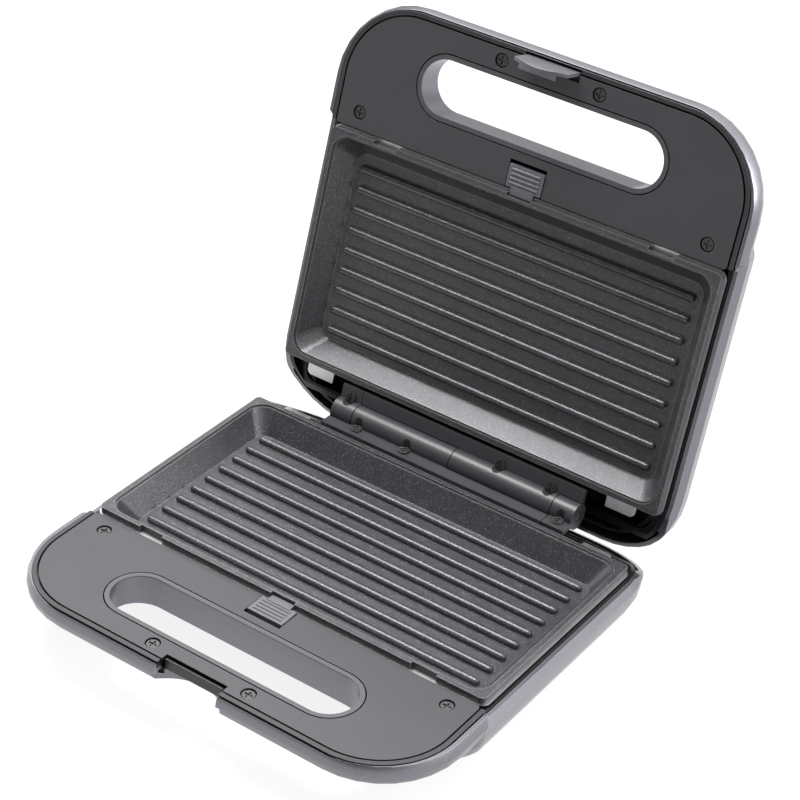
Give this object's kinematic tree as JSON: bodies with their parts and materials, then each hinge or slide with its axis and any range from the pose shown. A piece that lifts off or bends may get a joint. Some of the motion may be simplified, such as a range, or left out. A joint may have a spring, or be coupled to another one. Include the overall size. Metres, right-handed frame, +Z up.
{
  "type": "panini press",
  "caption": "Panini press with hinged ribbed grill plates, a two part carry handle, plate release buttons and a hook latch, lid open.",
  "frame": {"origin": "centre of the open press's bounding box in X and Y, at the bottom of the feet", "axes": "+X to the right, +Y to the back, from the handle to the hinge, +Z up"},
  "size_m": [0.232, 0.2776, 0.2369],
  "materials": {
    "shell": "gloss",
    "tray": "gloss",
    "rim": "satin",
    "cover": "satin",
    "reflector": "bright",
    "heater": "oxidised",
    "coating": "non-stick, satin",
    "clip": "bright",
    "button": "satin",
    "latch": "satin",
    "screw": "zinc plated",
    "thermostat": "satin",
    "rubber": "matt",
    "ceramic": "matt",
    "knuckle": "satin",
    "pin": "ground",
    "red_lens": "clear red",
    "green_lens": "clear green"
  },
  "bodies": {
    "base": {"base_shell": "shell", "base_tray": "tray", "base_rim_band": "rim", "base_cover": "cover", "base_reflector": "reflector", "base_heater": "heater", "base_plate": "coating", "base_clips": "clip", "base_cover_screws": "screw", "base_tray_screws": "screw", "base_thermostat": "thermostat", "base_feet": "rubber", "latch_catch": "latch", "cord_gland": "rubber", "terminal_block": "ceramic", "thermal_fuse": "ceramic", "hinge_long_base": "knuckle", "hinge_short_base": "knuckle", "hinge_pin": "pin", "hinge_base_screws": "screw"},
    "lid": {"hinge_long_lid": "knuckle", "hinge_short_lid": "knuckle", "hinge_lid_screws": "screw", "lid_shell": "shell", "lid_tray": "tray", "lid_rim_band": "rim", "lid_cover": "cover", "lid_reflector": "reflector", "lid_heater": "heater", "lid_plate": "coating", "lid_clips": "clip", "lid_cover_screws": "screw", "lid_tray_screws": "screw", "lid_thermostat": "thermostat", "latch_pin": "pin", "power_lens": "red_lens", "ready_lens": "green_lens", "lamp_holder": "tray"},
    "latch": {"latch": "latch"},
    "base_button": {"base_button": "button"},
    "lid_button": {"lid_button": "button"}
  },
  "joints": [
    {"name": "lid_hinge", "type": "hinge", "parent": "base", "child": "lid", "pos_m": [0, 0.06642, 0.04], "axis": [1, 0, 0], "range_deg": [0, 105.4]},
    {"name": "latch_pivot", "type": "hinge", "parent": "lid", "child": "latch", "pos_m": [0, 0.12738, 0.22744], "axis": [-1, 0, 0], "range_deg": [0, 9], "stiffness_Nm_per_rad": 0.1},
    {"name": "base_button_slide", "type": "slide", "parent": "base", "child": "base_button", "axis": [0, -1, 0], "range_m": [0, 0.0018], "stiffness_N_per_m": 300},
    {"name": "lid_button_slide", "type": "slide", "parent": "lid", "child": "lid_button", "axis": [0, 0.2656, 0.9641], "range_m": [0, 0.0018], "stiffness_N_per_m": 300}
  ]
}
